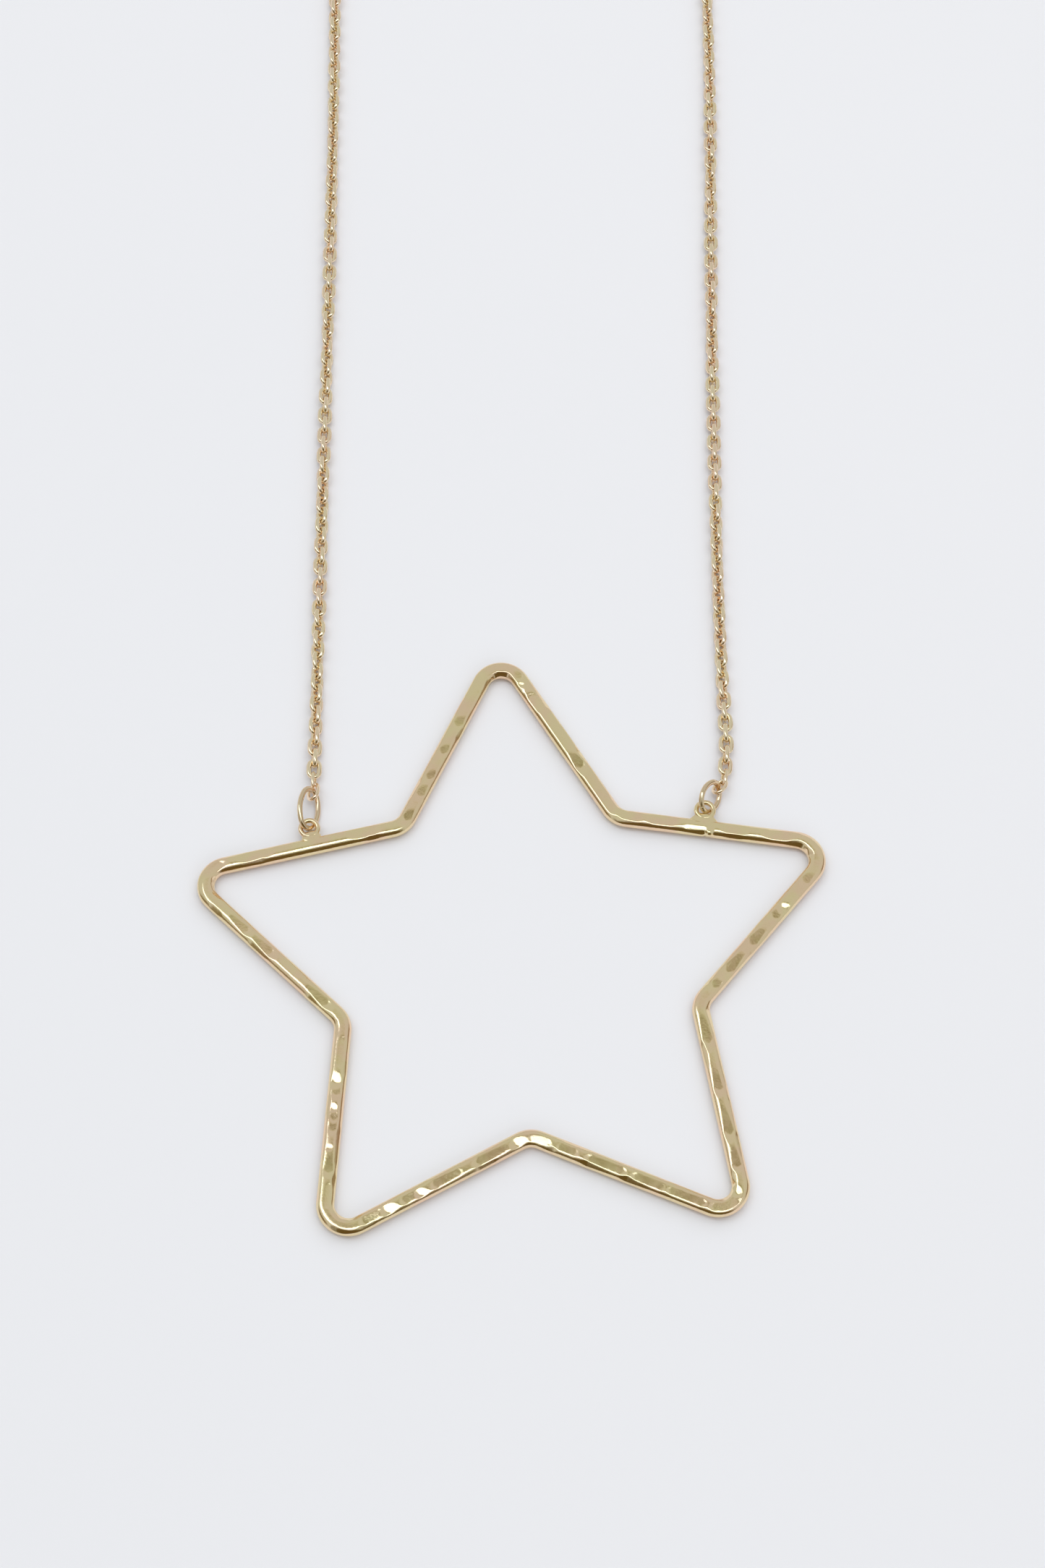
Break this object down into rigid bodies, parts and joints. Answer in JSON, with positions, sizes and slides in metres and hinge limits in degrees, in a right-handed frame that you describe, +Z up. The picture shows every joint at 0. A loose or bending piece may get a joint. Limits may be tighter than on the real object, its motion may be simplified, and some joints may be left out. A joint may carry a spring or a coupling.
{
  "type": "star pendant necklace",
  "caption": "Open hammered wire star pendant with two soldered loops, oval jump rings, a fine cable chain loop and a plain spring-ring clasp.",
  "frame": {"origin": "the middle of the whole necklace's box, on the surface that it lies on", "axes": "+Z up from the surface, +Y from the star's foot along the chain to the clasp, +X to the right of the star seen from the front"},
  "size_m": [0.062, 0.2578, 0.0034],
  "materials": {
    "star_gold": "hammered and polished pale gold plate",
    "ring_gold": "polished pale gold plate",
    "chain_gold": "polished warm gold plate"
  },
  "bodies": {
    "root": {"star_frame": "star_gold", "jump_ring_left": "ring_gold", "jump_ring_right": "ring_gold", "chain_left": "chain_gold", "chain_right": "chain_gold", "clasp": "ring_gold", "clasp_ring": "ring_gold", "end_ring": "ring_gold"}
  },
  "joints": []
}
